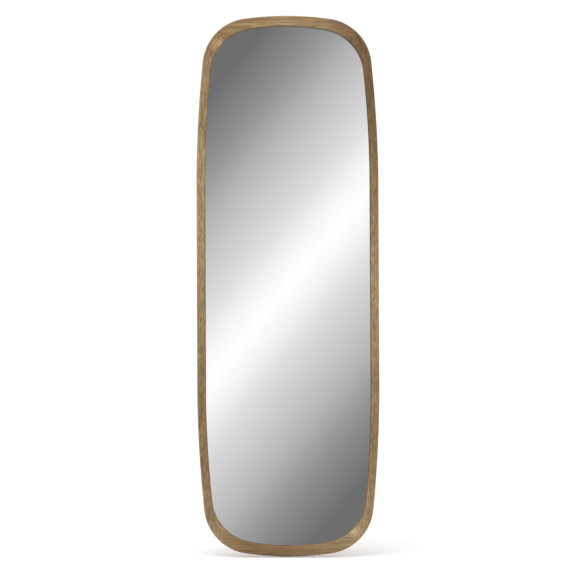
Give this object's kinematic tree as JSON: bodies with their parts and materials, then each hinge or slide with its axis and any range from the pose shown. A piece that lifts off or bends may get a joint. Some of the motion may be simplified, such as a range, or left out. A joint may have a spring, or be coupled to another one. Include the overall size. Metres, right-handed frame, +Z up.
{
  "type": "floor mirror",
  "caption": "Full-length mirror in a softly squared oak frame, leaning on a folding easel hinged to its back, with rings for wall hanging.",
  "frame": {"origin": "on the floor, under the middle of the standing mirror's box", "axes": "+Z up, the glass faces -Y, +X to the right of someone looking into the mirror"},
  "size_m": [0.605, 0.4028, 1.7879],
  "materials": {
    "oak_frame": "satin oil over open grain",
    "mirror": "polished silvered glass",
    "safety_film": "matte film",
    "foam": "closed-cell foam",
    "backboard": "smooth brown fibreboard",
    "screw_steel": "zinc plated",
    "rubber": "matte",
    "felt": "felt",
    "clear_bumper": "clear soft bumper",
    "webbing": "woven cotton tape",
    "hinge_steel": "satin zinc plated",
    "plated_steel": "satin zinc plated",
    "easel_timber": "planed and oiled"
  },
  "bodies": {
    "mirror": {"left_stile": "oak_frame", "right_stile": "oak_frame", "top_rail": "oak_frame", "bottom_rail": "oak_frame", "mitre_keys": "easel_timber", "mirror_glass": "mirror", "safety_film": "safety_film", "foam_sheet": "foam", "setting_blocks": "rubber", "backboard": "backboard", "backboard_screws": "screw_steel", "floor_bumpers": "clear_bumper", "fold_pads": "felt", "hinge_batten": "easel_timber", "batten_screws": "screw_steel", "left_batten_leaf": "hinge_steel", "right_batten_leaf": "hinge_steel", "left_hinge_pin": "hinge_steel", "right_hinge_pin": "hinge_steel", "batten_leaf_screws": "screw_steel", "anchor_block": "easel_timber", "anchor_clamp": "plated_steel", "anchor_clamp_screws": "screw_steel", "left_hanger_plate": "plated_steel", "right_hanger_plate": "plated_steel", "hanger_screws": "screw_steel", "restraint_strap": "webbing"},
    "easel": {"left_leg": "easel_timber", "right_leg": "easel_timber", "easel_top_rail": "easel_timber", "easel_middle_rail": "easel_timber", "easel_lower_rail": "easel_timber", "easel_dowels": "easel_timber", "left_easel_leaf": "hinge_steel", "right_easel_leaf": "hinge_steel", "easel_leaf_screws": "screw_steel", "rail_clamp": "plated_steel", "rail_clamp_screws": "screw_steel", "left_foot": "rubber", "right_foot": "rubber"},
    "left_ring": {"left_hanging_ring": "plated_steel"},
    "right_ring": {"right_hanging_ring": "plated_steel"}
  },
  "joints": [
    {"name": "easel_fold", "type": "hinge", "parent": "mirror", "child": "easel", "pos_m": [0, 0.03244, 1.23487], "axis": [-1, 0, 0], "range_deg": [0, 16], "deforming": ["restraint_strap"]},
    {"name": "left_ring_swing", "type": "hinge", "parent": "mirror", "child": "left_ring", "pos_m": [-0.28199, 0.02772, 1.386], "axis": [1, 0, 0], "range_deg": [-6, 165]},
    {"name": "right_ring_swing", "type": "hinge", "parent": "mirror", "child": "right_ring", "pos_m": [0.28199, 0.02772, 1.386], "axis": [1, 0, 0], "range_deg": [-6, 165]}
  ]
}
